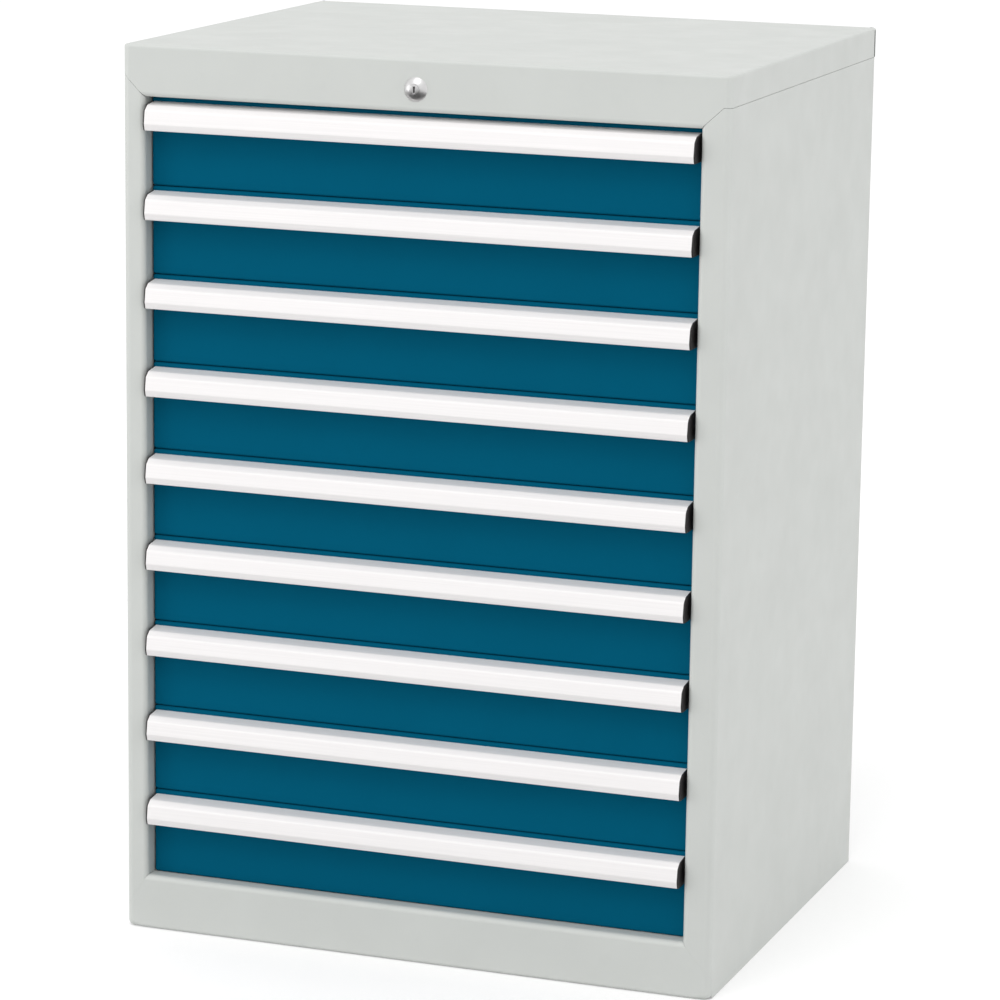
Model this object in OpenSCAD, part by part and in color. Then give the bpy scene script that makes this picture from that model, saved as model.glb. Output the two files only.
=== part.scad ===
// Steel drawer cabinet: a folded sheet-steel case with a stack of equal drawers on
// telescopic slides, full-width grips and one lock that bolts every drawer.
// X runs to the right, Y to the back and Z up. The origin is on the floor, in the
// middle of the cabinet's box. Inside the file, depths are counted from the face of
// the front stiles, and seat() moves them to the origin.

/* [Cabinet] */
// Width over the side panels
cab_w = 705; // [640:1:900]
// Depth from the face of the stiles to the back
cab_d = 572; // [500:1:800]
// Height from the floor to the top
cab_h = 1019; // [960:1:1200]
// Thickness of the sheet steel of the case
sheet = 1.5; // [1:0.1:2]
// Outside radius of the bend from a side panel into its stile
corner_r = 8; // [6:0.5:12]
// Outside radius of the bend at the back edge of a side panel
rear_r = 4; // [3:0.5:6]
// Outside radius of the bends round the drawers' opening
opening_r = 6; // [3:0.5:7]
// Outside radius of the tight bends of the case
bend_r = 3; // [2.5:0.1:4]

/* [Front frame] */
// Mean width of the two stiles beside the drawers
stile_w = 29.5; // [27:0.5:40]
// Distance of the drawers to the left of the middle, for the locking bar behind the right stile
drawer_shift = 3.5; // [0:0.5:5]
// Depth of the flange that turns back from the stile beside the drawers
stile_return = 24; // [22:0.5:26]
// Height of the fascia over the drawers
fascia_h = 57.5; // [50:0.5:80]
// Height of the top cover's side and back skirts
skirt_h = 34.5; // [32:0.5:42]
// Height of the bottom rail under the drawers
bottom_h = 63.5; // [50:0.5:90]
// Height at which the bottom rail's mitre reaches the side panel
foot_z = 23; // [10:0.5:30]
// Width of the open seam at the back corners of the top cover
seam = 4; // [2:0.5:6]
// Width of the inward flanges of the side panels and the base
flange_w = 20; // [15:1:25]

/* [Drawers] */
// Number of drawers
drawer_count = 9; // [6:1:9]
// Distance from the face of the stiles back to the drawer fronts
front_recess = 18; // [12:0.5:22]
// Depth of the hollow drawer front
front_depth = 20; // [16:0.5:24]
// Thickness of the sheet steel of fronts and trays
drawer_sheet = 1; // [0.8:0.1:1.5]
// Outside radius of the bends round a drawer front
front_r = 2; // [1.6:0.1:3]
// Gap between one drawer front and the next
front_gap = 2; // [1.5:0.5:5]
// Gap between a drawer front and the stile beside it
side_gap = 1.5; // [1:0.1:3]
// Width of the lips that close the back of a drawer front
front_lip = 14; // [10:1:18]
// Height of a tray's floor over the bottom of its drawer
tray_lift = 6; // [4:0.5:8]
// Distance from a tray's rim down from the top of its drawer
tray_drop = 14; // [12:0.5:20]
// Free space from the trays to the back of the cabinet
tray_rear_gap = 34; // [25:1:60]

/* [Grips] */
// Distance that a grip stands out in front of the stiles
grip_proud = 10; // [8:0.5:20]
// Distance of a grip's upper edge down from the top of its drawer
grip_top = 6; // [4:0.5:8]
// Height of a grip
grip_h = 30.5; // [28:0.5:36]
// Drop of a grip's upper face towards its shoulder
grip_slope = 2.5; // [1.5:0.5:4]
// Depth of the shoulder between a grip's upper face and its front
shoulder_d = 7; // [5:0.5:9]
// Height of that shoulder
shoulder_h = 5.5; // [4:0.5:7]
// Distance that a grip's front face leans back at its upper edge
grip_lean = 2.5; // [1.5:0.5:5]
// Height of the bevel along the bottom of a grip's front
grip_bevel = 7.5; // [5:0.5:9]
// Distance that the bevel turns back under
grip_tuck = 2; // [1:0.5:3]
// Wall of the grip extrusion
grip_wall = 2; // [1.5:0.1:2.5]
// Height of the grip's flange on the drawer front
grip_flange = 22; // [16:1:26]
// Depth of the lip behind the bevel
grip_lip = 6; // [4:0.5:8]
// Distance from the end of a grip to the edge of its drawer front
grip_inset = 1.5; // [1:0.5:6]
// Thickness of the plate of an end cap
cap_t = 1.5; // [1:0.1:3]
// Length of the plug that holds an end cap in the grip
cap_plug_l = 8; // [5:1:12]

/* [Slides] */
// Clear height inside a slide's rails
slide_h = 42; // [36:1:44]
// Thickness of the slide rails
slide_sheet = 1.5; // [1:0.1:2]
// Reach of the rails' flanges over the beam
slide_lip = 10; // [8:0.5:10]
// Width of the beam that links a cabinet rail to its drawer rail
beam_w = 22.2; // [21:0.1:26]
// Thickness of the beam's flanges and web
beam_t = 2; // [1.5:0.1:3]
// Running clearance between beam and rails
slide_fit = 0.3; // [0.2:0.05:0.4]
// Height of a slide over the bottom of its drawer
slide_lift = 25; // [20:1:28]
// Depth of the slide's front end behind the face of the stiles
slide_y = 45; // [42:1:60]
// Depth of the section of the uprights that carry the rails
upright_d = 30; // [25:1:36]

/* [Lock] */
// Sideways place of the lock from the middle
lock_x = -4; // [-200:1:200]
// Distance of the lock's axis below the top
lock_drop = 32.5; // [30:0.5:34]
// Radius of the lock's domed collar
dome_r = 13.5; // [12:0.5:16]
// Height of the lock's domed collar
dome_h = 6; // [4:0.5:8]
// Radius of the lock's barrel behind the fascia
barrel_r = 9; // [8.5:0.1:10]
// Radius of the turning plug
plug_r = 6; // [5:0.1:6.5]
// Running clearance round the plug
plug_fit = 0.05; // [0.02:0.01:0.1]
// Sideways travel of the locking bar
bar_throw = 10; // [9:0.5:11]
// Thickness of the locking bar
bar_t = 3; // [2:0.5:3]
// Width of the upright strip of the locking bar
strip_w = 11.5; // [9:0.5:12]
// Height of the tongue that bolts a drawer
tongue_h = 10; // [6:0.5:11]

/* [Hidden] */
$fn = 64;
grey = [0.81, 0.82, 0.81];
blue = [0.0, 0.37, 0.48];
aluminium = [0.92, 0.92, 0.92];
black = [0.14, 0.12, 0.13];
zinc = [0.70, 0.72, 0.73];
chrome = [0.85, 0.86, 0.88];

// Amount by which a cut passes the face that it cuts
past = 1;
half_w = cab_w / 2;
// Half the width of the drawers' opening, and its two edges as seen from the cabinet's middle
open_w = half_w - stile_w;
open_right = open_w - drawer_shift;
open_left = open_w + drawer_shift;
fascia_z = cab_h - fascia_h;
skirt_z = cab_h - skirt_h;
pitch = (fascia_z - bottom_h) / drawer_count;

// Locking bar: it stands behind the stiles' returns and rests over the fascia's flange
bar_gap = 1;
bar_y = stile_return + bar_gap;
bar_margin = 2;
fascia_flange = bar_y + bar_t + bar_margin;
bar_z = fascia_z + sheet + slide_fit;
// Length of the bar past the lock, away from the bolted stile
bar_tail = 20;
strip_gap = 1.5;
strip_x = half_w - sheet - strip_gap - strip_w;
tongue_gap = 6;
tongue_x = open_right + tongue_gap;
slot_fit = 0.5;

// Uprights: folded channels between base and top, behind the locking bar
upright_y = fascia_flange;
back_t = 1;
back_y = cab_d - sheet - back_t;
base_drop = 4;
base_z = bottom_h - base_drop;

// Drawer fronts, trays and slides
front_w = open_w - side_gap;
tray_y = front_recess + front_depth;
tray_l = back_y - tray_rear_gap - tray_y;
// Length of a slide past the back of its tray
slide_rear = 10;
slide_l = back_y - tray_rear_gap - slide_y + slide_rear;
rail_x = open_w;
web_gap = 1;
beam_x = open_w - web_gap;
drawer_rail_x = beam_x - beam_w - slide_fit;
tray_w = drawer_rail_x - slide_sheet;
tray_h = pitch - tray_lift - tray_drop;
rail_h = slide_h + 2 * slide_sheet;
tongue_rise = 4;
tongue_lift = slide_lift + rail_h + tongue_rise;

// Outline of a grip's section, down from its upper edge, anticlockwise from the back of its foot
grip_w = front_w - grip_inset;
brow_y = grip_lean - grip_proud;
grip_points = [[front_recess, -grip_h], [front_recess, 0], [brow_y + shoulder_d, -grip_slope],
               [brow_y, -grip_slope - shoulder_h], [-grip_proud, grip_bevel - grip_h],
               [grip_tuck - grip_proud, -grip_h]];
// Radii of that outline at the shoulder, the brow, the crease and the lip
shoulder_r = 6;
brow_r = 4;
crease_r = 4;
lip_r = 2;
grip_radii = [0, 0, shoulder_r, brow_r, crease_r, lip_r];
// Lift of the arcs past their flanks
grip_over = 0.01;
// Place of the rounded crease that stands out furthest
crease = arc_centre(grip_points[3], grip_points[4], grip_points[5], crease_r);
grip_reach = crease_r + grip_over - crease[0];
front_y = -(cab_d - grip_reach) / 2;
// Height of the plug of an end cap, and how far it reaches below the brow
cap_plug_drop = 9;
cap_plug_h = grip_slope + shoulder_h + cap_plug_drop;

// Lock: the plug passes the barrel and carries the cam behind it
lock_z = cab_h - lock_drop;
nut_h = 5;
nut_r = 14;
thread_gap = 0.2;
// Space left behind the barrel for the cam
cam_space = 8;
barrel_end = bar_y - cam_space;
cam_t = 2.5;
cam_gap = 0.3;
cam_y = barrel_end + cam_gap;
tail_w = 7;
pin_r = 2;
pin_boss = 4;
pin_fit = 0.4;
pin_arm = bar_throw / 2;
pin_reach = pin_arm * sqrt(2);
key_w = 2;
key_h = 7;
key_depth = 12;
plug_sink = 0.6;

function drawer_node(k, piece) = str("drawer_", k, "_", piece);

// Height of the bottom of drawer k, counted from the top one
function drawer_z(k) = bottom_h + (drawer_count - k) * pitch;

// Corner p between the points a and b of an outline: bisector, half angle and round
function unit(v) = v / norm(v);
function half_angle(a, p, b) = acos(unit(a - p) * unit(b - p)) / 2;
function bisector(a, p, b) = unit(unit(a - p) + unit(b - p));
function arc_centre(a, p, b, r) = p + bisector(a, p, b) * r / sin(half_angle(a, p, b));
function arc_end(a, p, b, r) = p + unit(b - p) * r / tan(half_angle(a, p, b));

// The point before and after point i of a closed outline
function before(points, i) = points[(i + len(points) - 1) % len(points)];
function after(points, i) = points[(i + 1) % len(points)];

// A convex outline moved inwards by t
function inset(points, t) =
    [for (i = [0 : len(points) - 1]) arc_centre(before(points, i), points[i], after(points, i), t)];

// A convex outline with each corner rounded to its own radius; over lifts the arcs past their flanks,
// so that the two cross instead of touching
module rounded(points, radii, over = 0) {
    last = len(points) - 1;
    polygon([for (i = [0 : last])
        let (a = before(points, i), p = points[i], b = after(points, i), r = radii[i])
        each r <= 0 ? [p] : [arc_end(b, p, a, r), arc_end(a, p, b, r)]]);
    for (i = [0 : last])
        if (radii[i] > 0)
            translate(arc_centre(before(points, i), points[i], after(points, i), radii[i]))
                circle(radii[i] + over);
}

// The section of a sheet of thickness t folded round that outline
module folded(points, radii, t, over = 0) {
    difference() {
        rounded(points, radii, over);
        rounded(inset(points, t), [for (r = radii) r - t], over);
    }
}

// A rectangle's corners, anticlockwise from the lower left
function corners(low, high) = [low, [high[0], low[1]], high, [low[0], high[1]]];

// A flat rectangle and a block between two opposite corners
module plate(low, high) {
    translate(low) square(high - low);
}

module block(low, high) {
    translate(low) cube(high - low);
}

// Sections drawn in YZ, XZ and XY, carried between two places along the third axis
module along_x(x0, x1) {
    translate([x0, 0, 0]) rotate([90, 0, 90]) linear_extrude(x1 - x0) children();
}

module along_y(y0, y1) {
    translate([0, y1, 0]) rotate([90, 0, 0]) linear_extrude(y1 - y0) children();
}

module along_z(z0, z1) {
    translate([0, 0, z0]) linear_extrude(z1 - z0) children();
}

module both_sides() {
    children();
    mirror([1, 0, 0]) children();
}

// Depths counted from the stiles' face are moved to the origin
module seat() {
    translate([0, front_y, 0]) children();
}

// The same for drawers and slides, whose widths are counted from the middle of the opening
module seat_drawer() {
    translate([-drawer_shift, front_y, 0]) children();
}

// Pieces beside the opening, drawn on the right from the edge $open_x and mirrored to the left
module on_right() {
    $open_x = open_right;
    children();
}

module on_left() {
    $open_x = open_left;
    mirror([1, 0, 0]) children();
}

module on_both() {
    on_right() children();
    on_left() children();
}

// Slanted lines on a stile where the fascia and the bottom rail meet it
module fascia_mitre() {
    polygon([[$open_x, fascia_z], [$open_x + skirt_z - fascia_z, skirt_z], [half_w + past, skirt_z],
             [half_w + past, fascia_z - past], [$open_x, fascia_z - past]]);
}

module rail_mitre() {
    polygon([[$open_x, bottom_h], [half_w, foot_z], [half_w + past, foot_z],
             [half_w + past, bottom_h + past], [$open_x, bottom_h + past]]);
}

// Side panel folded from one sheet: back flange, side, round front corner, stile and its return
module side_sheet() {
    near_x = $open_x - past;
    difference() {
        along_z(0, skirt_z)
            difference() {
                folded(corners([$open_x, 0], [half_w, cab_d]), [opening_r, corner_r, rear_r, 0], sheet);
                plate([near_x, stile_return], [half_w - flange_w, cab_d + past]);
            }
        along_y(-past, stile_return + past)
            polygon([[near_x, fascia_z - past], [$open_x + skirt_z - fascia_z + past, skirt_z + past],
                     [near_x, skirt_z + past]]);
        along_y(-past, corner_r)
            polygon([[$open_x, bottom_h], [near_x, bottom_h], [near_x, -past],
                     [half_w + past, -past], [half_w + past, foot_z], [half_w, foot_z]]);
        block([near_x, corner_r - past, -past], [half_w - corner_r, stile_return + past, bottom_h]);
    }
    block([half_w - flange_w, upright_y + upright_d, skirt_z - sheet], [half_w - sheet, back_y - flange_w, skirt_z]);
}

module left_side_panel() {
    color(grey) seat() on_left() side_sheet();
}

module right_side_panel() {
    color(grey) seat() on_right() side_sheet();
}

// Box with the bends of the top cover, drawn inwards by t
module cover_box(t) {
    low = [-half_w, 0];
    high = [half_w, cab_d];
    intersection() {
        along_z(fascia_z + t, cab_h - t)
            rounded(inset(corners(low, high), t), [corner_r - t, corner_r - t, 0, 0]);
        along_y(-past, cab_d + past)
            rounded(inset(corners([-half_w, fascia_z], [half_w, cab_h]), t), [0, 0, bend_r - t, bend_r - t]);
        along_x(-half_w - past, half_w + past)
            rounded(inset(corners([0, fascia_z], [cab_d, cab_h]), t), [opening_r - t, 0, bend_r - t, bend_r - t]);
    }
}

// Top cover: lid, skirts on the sides and back, and the fascia with its flange under the lock
module top_cover() {
    color(grey) seat() difference() {
        cover_box(0);
        cover_box(sheet);
        block([-half_w - past, fascia_flange, fascia_z - past], [half_w + past, cab_d + past, skirt_z]);
        on_both() along_y(-past, fascia_flange + past) fascia_mitre();
        both_sides()
            block([half_w - sheet - past, cab_d - sheet - seam, skirt_z - past],
                  [half_w + past, cab_d - sheet, cab_h - bend_r]);
        lock_axis() along_y(-past, sheet + past) circle(barrel_r + thread_gap);
    }
}

module back_panel() {
    color(grey) seat()
        block([-half_w + rear_r, back_y, sheet], [half_w - rear_r, back_y + back_t, cab_h - bend_r - past]);
}

// Bottom rail: front sheet with round ends, a flange on top and a lip on the floor
module bottom_rail() {
    color(grey) seat() difference() {
        intersection() {
            along_z(0, bottom_h)
                rounded(corners([-half_w, 0], [half_w, stile_return]), [corner_r, corner_r, 0, 0]);
            along_x(-half_w - past, half_w + past)
                rounded(corners([0, 0], [stile_return, bottom_h]), [bend_r, 0, 0, opening_r]);
        }
        intersection() {
            along_z(sheet, bottom_h - sheet)
                rounded(corners([-half_w + sheet, sheet], [half_w - sheet, stile_return + past]),
                        [corner_r - sheet, corner_r - sheet, 0, 0]);
            along_x(-half_w, half_w)
                rounded(corners([sheet, sheet], [stile_return + past, bottom_h - sheet]),
                        [bend_r - sheet, 0, 0, opening_r - sheet]);
        }
        on_both() block([$open_x, corner_r, -past], [half_w + past, stile_return + past, bottom_h + past]);
        on_both() along_y(-past, corner_r + past) rail_mitre();
    }
}

// Base: floor plate with skirts down to the floor and a lip under each
module base_pan() {
    base_w = half_w - sheet;
    color(grey) seat() along_y(stile_return, cab_d - sheet - rear_r)
        difference() {
            folded(corners([-base_w, 0], [base_w, base_z]), [bend_r, bend_r, bend_r, bend_r], sheet);
            plate([-base_w + flange_w, -past], [base_w - flange_w, sheet + past]);
        }
}

// Uprights: a channel in each corner of the case, open to the front
module upright(y) {
    low_x = $open_x + slide_sheet;
    high_x = half_w - sheet;
    along_z(base_z, skirt_z - sheet)
        difference() {
            folded(corners([low_x, y - past - sheet], [high_x, y + upright_d]), [0, 0, bend_r, bend_r], sheet);
            plate([low_x - past, y - past - sheet - past], [high_x + past, y]);
        }
}

module rail_uprights() {
    rear_y = back_y - flange_w - upright_d;
    color(zinc) seat() for (y = [upright_y, rear_y])
        on_both() upright(y);
}

// Cabinet rails: one channel for each drawer, closed at the back by a stop
module rail_set() {
    for (k = [1 : drawer_count])
        translate([0, 0, drawer_z(k) + slide_lift]) {
            along_y(slide_y, slide_y + slide_l + slide_fit + slide_sheet)
                difference() {
                    plate([rail_x - slide_lip, 0], [rail_x + slide_sheet, rail_h]);
                    plate([rail_x - slide_lip - past, slide_sheet], [rail_x, rail_h - slide_sheet]);
                }
            block([rail_x - slide_lip, slide_y + slide_l + slide_fit, slide_sheet],
                  [rail_x, slide_y + slide_l + slide_fit + slide_sheet, rail_h - slide_sheet]);
        }
}

module left_cabinet_rails() {
    color(zinc) seat_drawer() mirror([1, 0, 0]) rail_set();
}

module right_cabinet_rails() {
    color(zinc) seat_drawer() rail_set();
}

// Pair of I-section beams that run out half as far as their drawer
module drawer_slide_beams(k) {
    low_z = drawer_z(k) + slide_lift + slide_sheet + slide_fit;
    high_z = low_z + slide_h - 2 * slide_fit;
    web_x = beam_x - (beam_w + beam_t) / 2;
    color(zinc) seat_drawer() both_sides() along_y(slide_y, slide_y + slide_l) {
        plate([beam_x - beam_w, low_z], [beam_x, low_z + beam_t]);
        plate([beam_x - beam_w, high_z - beam_t], [beam_x, high_z]);
        plate([web_x, low_z + beam_t], [web_x + beam_t, high_z - beam_t]);
    }
}

// Tray: open box of thin sheet with a slide rail welded along each side
module drawer_tray(k) {
    low_z = drawer_z(k) + tray_lift;
    rail_z = drawer_z(k) + slide_lift;
    color(zinc) seat_drawer() {
        difference() {
            block([-tray_w, tray_y, low_z], [tray_w, tray_y + tray_l, low_z + tray_h]);
            block([-tray_w + drawer_sheet, tray_y + drawer_sheet, low_z + drawer_sheet],
                  [tray_w - drawer_sheet, tray_y + tray_l - drawer_sheet, low_z + tray_h + past]);
        }
        both_sides() translate([0, 0, rail_z]) along_y(slide_y, tray_y + tray_l)
            difference() {
                plate([tray_w, 0], [drawer_rail_x + slide_lip, rail_h]);
                plate([drawer_rail_x, slide_sheet], [drawer_rail_x + slide_lip + past, rail_h - slide_sheet]);
            }
    }
}

// Box with the bends of a drawer front, drawn inwards by t
module front_box(k, t) {
    low_z = drawer_z(k) + front_gap / 2;
    high_z = low_z + pitch - front_gap;
    y0 = front_recess;
    y1 = front_recess + front_depth;
    r = front_r - t;
    intersection() {
        along_z(low_z + t, high_z - t)
            rounded(inset(corners([-front_w, y0], [front_w, y1]), t), [r, r, 0, 0]);
        along_x(-front_w, front_w)
            rounded(inset(corners([y0, low_z], [y1, high_z]), t), [r, 0, 0, r]);
    }
}

// Drawer front: hollow pan with lips round its back and a slot for the lock's tongue
module drawer_front(k) {
    low_z = drawer_z(k) + front_gap / 2 + front_lip;
    high_z = drawer_z(k) + pitch - front_gap / 2 - front_lip;
    tongue_z = drawer_z(k) + tongue_lift;
    color(blue) seat_drawer() difference() {
        front_box(k, 0);
        front_box(k, drawer_sheet);
        block([-front_w + front_lip, tray_y - drawer_sheet - past, low_z],
              [front_w - front_lip, tray_y + past, high_z]);
        block([front_w - drawer_sheet - past, bar_y - slot_fit, tongue_z - slot_fit],
              [front_w + past, bar_y + bar_t + slot_fit, tongue_z + tongue_h + slot_fit]);
    }
}

// A grip's place: its upper edge, a little under the top of its drawer
module at_grip(k) {
    seat_drawer() translate([0, 0, drawer_z(k) + pitch - grip_top]) children();
}

// Grip: aluminium extrusion hooked over the fingers, open below and at the back
module drawer_grip(k) {
    length = grip_w - cap_t;
    lip_y = grip_tuck + grip_lip - grip_proud;
    flange_y = front_recess - grip_wall;
    color(aluminium) at_grip(k) along_x(-length, length) difference() {
        folded(grip_points, grip_radii, grip_wall, grip_over);
        plate([lip_y, -grip_h - past], [flange_y, grip_wall + past - grip_h]);
        plate([flange_y - past, -grip_h - past], [front_recess + past, -grip_flange]);
    }
}

// End caps: plastic plates over the ends of a grip, each with a plug inside it
module drawer_grip_caps(k) {
    inner = grip_wall + slide_fit;
    color(black) at_grip(k) both_sides() {
        along_x(grip_w - cap_t, grip_w) rounded(grip_points, grip_radii, grip_over);
        along_x(grip_w - cap_t - cap_plug_l, grip_w - cap_t) intersection() {
            rounded(inset(grip_points, inner), [for (r = grip_radii) r - inner], grip_over);
            plate([-grip_proud, -cap_plug_h], [front_recess, 0]);
        }
    }
}

// The lock's own axis, at its place on the fascia
module lock_axis() {
    translate([lock_x, 0, lock_z]) children();
}

// A profile of radius against depth turned round the lock's axis, front end at depth y0
module turned(y0) {
    lock_axis() translate([0, y0, 0]) rotate([-90, 0, 0]) rotate_extrude() children();
}

// Housing: domed collar on the fascia and a barrel through it
module lock_housing() {
    bore = plug_r + plug_fit;
    ball_r = (dome_r * dome_r + dome_h * dome_h) / (2 * dome_h);
    color(chrome) seat() difference() {
        union() {
            turned(-dome_h) intersection() {
                translate([0, ball_r]) circle(ball_r);
                plate([0, 0], [dome_r, dome_h]);
            }
            turned(0) plate([0, 0], [barrel_r, barrel_end]);
        }
        turned(-dome_h - past) plate([0, 0], [bore, dome_h + barrel_end + 2 * past]);
    }
}

// Nut that clamps the fascia between itself and the collar
module lock_nut() {
    color(zinc) seat() lock_axis() along_y(sheet, sheet + nut_h)
        difference() {
            circle(nut_r, $fn = 6);
            circle(barrel_r + thread_gap);
        }
}

// Plug: turns in the housing, with a key slot in front and a square tail for the cam
module lock_plug() {
    front = plug_sink - dome_h;
    color(chrome) seat() difference() {
        union() {
            turned(front) plate([0, 0], [plug_r, barrel_end + cam_gap - front]);
            lock_axis() block([-tail_w / 2, cam_y, -tail_w / 2], [tail_w / 2, cam_y + cam_t, tail_w / 2]);
        }
        lock_axis() block([-key_w / 2, front - past, -key_h / 2], [key_w / 2, front + key_depth, key_h / 2]);
    }
}

// Cam: plate on the plug's tail with the pin that moves the locking bar
module lock_cam() {
    color(zinc) seat() lock_axis() difference() {
        union() {
            along_y(cam_y, cam_y + cam_t) {
                circle(tail_w);
                translate([pin_arm, -pin_arm]) circle(pin_boss);
            }
            translate([pin_arm, 0, -pin_arm]) along_y(cam_y, bar_y + bar_t + pin_fit) circle(pin_r);
        }
        block([-tail_w / 2, cam_y - past, -tail_w / 2], [tail_w / 2, cam_y + cam_t + past, tail_w / 2]);
    }
}

// Locking bar: one plate with a slot for the cam's pin and a tongue for each drawer
module locking_bar() {
    slot_w = pin_r + pin_fit;
    bar_top = lock_z + past;
    foot = drawer_z(drawer_count) + tongue_lift;
    pin_x = lock_x + pin_arm;
    color(zinc) seat() along_y(bar_y, bar_y + bar_t) difference() {
        union() {
            plate([lock_x - bar_tail, bar_z], [strip_x + strip_w, bar_top]);
            plate([strip_x, foot], [strip_x + strip_w, bar_z]);
            for (k = [1 : drawer_count])
                translate([0, drawer_z(k) + tongue_lift]) plate([tongue_x, 0], [strip_x, tongue_h]);
        }
        plate([pin_x - slot_w, lock_z - pin_reach - slot_w], [pin_x + slot_w, lock_z - pin_arm + slot_w]);
    }
}

left_side_panel();
right_side_panel();
top_cover();
back_panel();
bottom_rail();
base_pan();
rail_uprights();
left_cabinet_rails();
right_cabinet_rails();
lock_housing();
lock_nut();
lock_plug();
lock_cam();
locking_bar();
for (k = [1 : drawer_count]) {
    drawer_tray(k);
    drawer_front(k);
    drawer_grip(k);
    drawer_grip_caps(k);
    drawer_slide_beams(k);
}
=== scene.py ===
import math

import bpy
import numpy as np
from mathutils import Matrix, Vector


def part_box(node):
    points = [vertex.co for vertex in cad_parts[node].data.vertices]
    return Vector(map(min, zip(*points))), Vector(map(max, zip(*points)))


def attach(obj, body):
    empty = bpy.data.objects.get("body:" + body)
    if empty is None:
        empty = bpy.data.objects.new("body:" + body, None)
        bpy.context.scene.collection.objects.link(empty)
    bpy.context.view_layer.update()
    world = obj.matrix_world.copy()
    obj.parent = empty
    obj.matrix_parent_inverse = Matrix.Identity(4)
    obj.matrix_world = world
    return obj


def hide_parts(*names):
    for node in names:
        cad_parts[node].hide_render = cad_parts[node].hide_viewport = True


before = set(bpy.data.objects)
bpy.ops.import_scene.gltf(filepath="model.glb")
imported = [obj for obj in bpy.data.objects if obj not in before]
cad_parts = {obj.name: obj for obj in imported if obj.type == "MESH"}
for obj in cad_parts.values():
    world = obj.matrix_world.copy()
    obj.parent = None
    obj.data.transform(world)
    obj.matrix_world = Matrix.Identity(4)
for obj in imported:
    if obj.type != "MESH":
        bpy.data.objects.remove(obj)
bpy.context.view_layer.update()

# Base and back
# The base is a sheet-steel pan on two floor lips, and the back a flat steel sheet behind the
# side panels' flanges. Both are powder coated light grey and welded into the case.
CASE_GREY = (0.570, 0.588, 0.567)
# Range in which most values of a noise lie
NOISE_LOW = 0.3
NOISE_HIGH = 0.7


def start_material(name, roughness, metallic, specular):
    """A material with one shader, and the object's own coordinates for its patterns."""
    material = bpy.data.materials.new(name)
    material.use_nodes = True
    tree = material.node_tree
    shader = tree.nodes["Principled BSDF"]
    shader.inputs["Roughness"].default_value = roughness
    shader.inputs["Metallic"].default_value = metallic
    shader.inputs["Specular IOR Level"].default_value = specular
    place = tree.nodes.new("ShaderNodeTexCoord").outputs["Object"]
    return material, tree, shader, place


def grain(tree, place, cells, detail, stretch=(1.0, 1.0, 1.0)):
    """Noise with so many cells to the metre, times a stretch along each axis."""
    mapping = tree.nodes.new("ShaderNodeMapping")
    mapping.inputs["Scale"].default_value = stretch
    tree.links.new(place, mapping.inputs["Vector"])
    noise = tree.nodes.new("ShaderNodeTexNoise")
    noise.inputs["Scale"].default_value = cells
    noise.inputs["Detail"].default_value = detail
    tree.links.new(mapping.outputs["Vector"], noise.inputs["Vector"])
    return noise.outputs["Fac"]


def spread(tree, value, start, end, low, high):
    """The values from start to end carried over to low to high, and held there outside them."""
    node = tree.nodes.new("ShaderNodeMapRange")
    node.inputs["From Min"].default_value = start
    node.inputs["From Max"].default_value = end
    node.inputs["To Min"].default_value = low
    node.inputs["To Max"].default_value = high
    tree.links.new(value, node.inputs["Value"])
    return node.outputs["Result"]


def patches(tree, noise, low=0.0, high=1.0):
    """The middle range of a noise carried over to low to high."""
    return spread(tree, noise, NOISE_LOW, NOISE_HIGH, low, high)


def mixed(tree, share, first, second):
    """The first colour where share is 0 and the second where it is 1; each is a colour or an output."""
    node = tree.nodes.new("ShaderNodeMix")
    node.data_type = "RGBA"
    tree.links.new(share, node.inputs["Factor"])
    for socket, colour in ((node.inputs[6], first), (node.inputs[7], second)):
        if isinstance(colour, bpy.types.NodeSocket):
            tree.links.new(colour, socket)
        else:
            socket.default_value = (*colour, 1.0)
    return node.outputs[2]


def relief(tree, shader, layers):
    """Bumps laid over each other, each from a height between 0 and 1 and its depth in metres."""
    below = None
    for height, depth in layers:
        bump = tree.nodes.new("ShaderNodeBump")
        bump.inputs["Distance"].default_value = depth
        tree.links.new(height, bump.inputs["Height"])
        if below is not None:
            tree.links.new(below, bump.inputs["Normal"])
        below = bump.outputs["Normal"]
    tree.links.new(below, shader.inputs["Normal"])


def shade(colour, amount):
    """A colour times an amount."""
    return tuple(min(1.0, channel * amount) for channel in colour)


def powder_coat(name, colour, specular, rub):
    """Satin powder coat: orange peel, faint mottling, dull and polished patches, rubbed bends."""
    material, tree, shader, place = start_material(name, roughness=0.46, metallic=0.0, specular=specular)
    mottle = spread(tree, grain(tree, place, cells=11.0, detail=4.0), start=0.32, end=0.68, low=0.0, high=1.0)
    tone = mixed(tree, mottle, shade(colour, 0.985), shade(colour, 1.015))
    scuff = spread(tree, grain(tree, place, cells=42.0, detail=6.0), start=0.60, end=0.74, low=0.0, high=rub)
    tone = mixed(tree, scuff, tone, shade(colour, 0.86))
    bend = tree.nodes.new("ShaderNodeAttribute")
    bend.attribute_name = "bend"
    polish = spread(tree, bend.outputs["Fac"], start=0.0, end=1.0, low=0.0, high=rub)
    tone = mixed(tree, polish, tone, shade(colour, 1.12))
    tree.links.new(tone, shader.inputs["Base Color"])
    dull = patches(tree, grain(tree, place, cells=23.0, detail=3.0), low=0.40, high=0.54)
    tree.links.new(dull, shader.inputs["Roughness"])
    peel = grain(tree, place, cells=150.0, detail=1.0)
    speckle = grain(tree, place, cells=800.0, detail=2.0)
    relief(tree, shader, [(peel, 0.00006), (speckle, 0.00004)])
    return material


def dress(node, material):
    """Gives a node of the model its finish."""
    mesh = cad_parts[node].data
    mesh.materials.clear()
    mesh.materials.append(material)


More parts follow.
